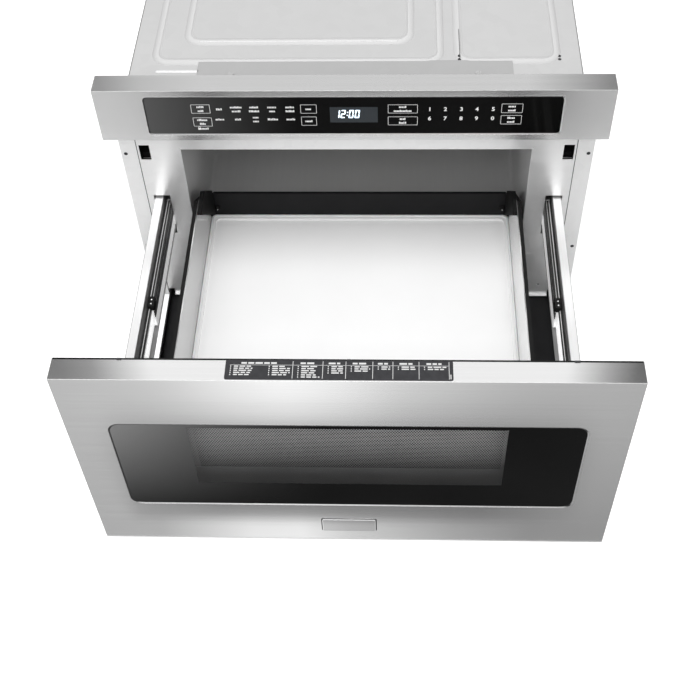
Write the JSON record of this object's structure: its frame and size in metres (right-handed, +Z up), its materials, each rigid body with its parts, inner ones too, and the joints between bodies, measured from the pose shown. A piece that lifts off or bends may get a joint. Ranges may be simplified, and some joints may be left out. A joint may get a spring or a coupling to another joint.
{
  "type": "microwave drawer",
  "caption": "Built-in microwave whose full-width front slides out as a drawer with an open tray, under a fixed touch panel, on telescoping slides with a geared drive.",
  "frame": {"origin": "on the symmetry plane, on the underside of the base pan, in the plane of the cabinet's face that the mounting flanges lie on", "axes": "+X to the right as seen by someone facing the oven, +Y to the back of the cabinet, +Z up; the drawer slides out towards -Y"},
  "size_m": [0.606, 0.9624, 0.401],
  "materials": {
    "stainless_front": "fine horizontal grain, satin",
    "galvanised_sheet": "zinc coated, dull satin",
    "cavity_steel": "satin sheet",
    "tray_steel": "polished sheet",
    "rail_zinc": "bright zinc plate",
    "bearing_steel": "ground balls in a plated cage",
    "machined_steel": "machined, plated",
    "black_glass": "back-printed black, gloss",
    "white_ceramic": "opaque glass-ceramic, gloss",
    "black_paint": "satin black enamel",
    "black_plastic": "fine moulded grain",
    "gloss_black": "gloss film",
    "pale_plastic": "moulded, satin",
    "gear_plastic": "moulded acetal",
    "display_window": "smoked window, lit digits",
    "circuit_board": "solder mask",
    "iron_core": "laminated core, varnished windings",
    "aluminium": "drawn and pressed",
    "lamp_glass": "frosted lens in its holder"
  },
  "bodies": {
    "chassis": {"case_wrap": "galvanised_sheet", "base_pan": "galvanised_sheet", "rear_cover": "galvanised_sheet", "front_frame": "galvanised_sheet", "mounting_flanges": "galvanised_sheet", "cavity_liner": "cavity_steel", "stirrer_cover": "pale_plastic", "stirrer_motor": "iron_core", "waveguide": "galvanised_sheet", "magnetron": "aluminium", "transformer": "iron_core", "capacitor": "aluminium", "fan_housing": "black_plastic", "fan_motor": "iron_core", "cavity_lamp": "lamp_glass", "power_inlet": "black_plastic", "case_screws": "machined_steel", "control_panel_shell": "stainless_front", "panel_top_bracket": "galvanised_sheet", "touch_glass": "black_glass", "display_module": "display_window", "control_board": "circuit_board", "fixed_rail_right": "rail_zinc", "fixed_rail_left": "rail_zinc", "rail_supports": "galvanised_sheet", "interlock_switches": "black_plastic", "base_glides": "pale_plastic", "drive_brackets": "galvanised_sheet", "drive_motor": "iron_core"},
    "drawer": {"door_shell": "stainless_front", "door_glass": "black_glass", "door_mesh_screen": "black_paint", "door_inner_frame": "black_paint", "choke_cover": "black_plastic", "badge_plate": "stainless_front", "menu_label_plate": "gloss_black", "tray_pan": "tray_steel", "tray_floor_plate": "white_ceramic", "tray_rear_bar": "black_paint", "tray_trims": "black_plastic", "tray_glides": "pale_plastic", "drawer_base_plate": "black_paint", "drive_racks": "gear_plastic", "rail_bracket_right": "rail_zinc", "rail_bracket_left": "rail_zinc", "drawer_rail_right": "rail_zinc", "drawer_rail_left": "rail_zinc", "latch_hooks": "black_plastic", "drawer_screws": "machined_steel"},
    "mid_slide_right": {"mid_rail_right": "rail_zinc"},
    "mid_slide_left": {"mid_rail_left": "rail_zinc"},
    "outer_cage_right": {"outer_ball_cage_right": "bearing_steel"},
    "outer_cage_left": {"outer_ball_cage_left": "bearing_steel"},
    "inner_cage_right": {"inner_ball_cage_right": "bearing_steel"},
    "inner_cage_left": {"inner_ball_cage_left": "bearing_steel"},
    "cross_shaft": {"drive_shaft": "machined_steel", "drive_gears": "gear_plastic"},
    "motor_spindle": {"motor_pinion": "machined_steel"},
    "cooling_fan": {"fan_wheel": "black_plastic"},
    "stirrer": {"stirrer_blade": "aluminium"}
  },
  "joints": [
    {"name": "drawer_slide", "type": "slide", "parent": "chassis", "child": "drawer", "axis": [0, 1, 0], "range_m": [0, 0.359]},
    {"name": "mid_slide_right_travel", "type": "slide", "parent": "chassis", "child": "mid_slide_right", "axis": [0, 1, 0], "range_m": [0, 0.18]},
    {"name": "outer_cage_right_travel", "type": "slide", "parent": "chassis", "child": "outer_cage_right", "axis": [0, 1, 0], "range_m": [0, 0.09]},
    {"name": "inner_cage_right_travel", "type": "slide", "parent": "chassis", "child": "inner_cage_right", "axis": [0, 1, 0], "range_m": [0, 0.27]},
    {"name": "mid_slide_left_travel", "type": "slide", "parent": "chassis", "child": "mid_slide_left", "axis": [0, 1, 0], "range_m": [0, 0.18]},
    {"name": "outer_cage_left_travel", "type": "slide", "parent": "chassis", "child": "outer_cage_left", "axis": [0, 1, 0], "range_m": [0, 0.09]},
    {"name": "inner_cage_left_travel", "type": "slide", "parent": "chassis", "child": "inner_cage_left", "axis": [0, 1, 0], "range_m": [0, 0.27]},
    {"name": "cross_shaft_spin", "type": "hinge", "parent": "chassis", "child": "cross_shaft", "pos_m": [0, 0.028, 0.0345], "axis": [1, 0, 0], "range_deg": [0, 1286]},
    {"name": "motor_spin", "type": "hinge", "parent": "chassis", "child": "motor_spindle", "pos_m": [0.06, 0.058, 0.0345], "axis": [1, 0, 0], "range_deg": [-2572, 0]},
    {"name": "fan_spin", "type": "hinge", "parent": "chassis", "child": "cooling_fan", "pos_m": [0.17, 0.54, 0.0632], "axis": [0, 1, 0], "continuous": true},
    {"name": "stirrer_spin", "type": "hinge", "parent": "chassis", "child": "stirrer", "pos_m": [0, 0.217, 0.3], "axis": [0, 0, 1], "continuous": true}
  ],
  "couplings": [
    {"joint": "mid_slide_right_travel", "follows": "drawer_slide", "ratio": 0.5},
    {"joint": "outer_cage_right_travel", "follows": "drawer_slide", "ratio": 0.25},
    {"joint": "inner_cage_right_travel", "follows": "drawer_slide", "ratio": 0.75},
    {"joint": "mid_slide_left_travel", "follows": "drawer_slide", "ratio": 0.5},
    {"joint": "outer_cage_left_travel", "follows": "drawer_slide", "ratio": 0.25},
    {"joint": "inner_cage_left_travel", "follows": "drawer_slide", "ratio": 0.75},
    {"joint": "cross_shaft_spin", "follows": "drawer_slide", "rad_per_m": 62.5},
    {"joint": "motor_spin", "follows": "drawer_slide", "rad_per_m": -125}
  ]
}
